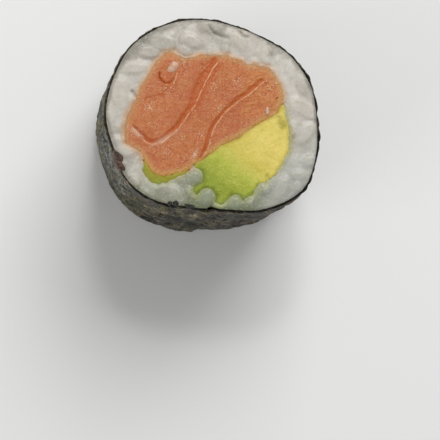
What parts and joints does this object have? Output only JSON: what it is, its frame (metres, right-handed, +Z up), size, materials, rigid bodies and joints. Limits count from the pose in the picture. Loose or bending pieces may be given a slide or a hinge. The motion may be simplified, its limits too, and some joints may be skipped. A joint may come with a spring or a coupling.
{
  "type": "salmon avocado maki roll piece",
  "caption": "Round cut piece of rolled sushi: dark seaweed round white rice with salmon and avocado through its middle, standing on a cut end.",
  "frame": {"origin": "middle of the underside, on the surface that the piece stands on", "axes": "+Z up along the roll, from one cut end to the other; -Y is the side nearest the viewer, where the seaweed's lap runs down"},
  "size_m": [0.0304, 0.0284, 0.033],
  "materials": {
    "seaweed": "moist dried seaweed, dark green-black with brown and ochre patches, matt with a faint sheen",
    "rice": "cooked short-grain rice, soft, moist and slightly see-through",
    "salmon": "raw salmon, moist, with pale seams between its flakes",
    "avocado": "ripe avocado, creamy, yellow to green",
    "avocado_outer": "avocado flesh from under the skin, olive green"
  },
  "bodies": {
    "root": {"nori": "seaweed", "rice": "rice", "salmon": "salmon", "avocado": "avocado", "avocado_sliver": "avocado_outer"}
  },
  "joints": []
}
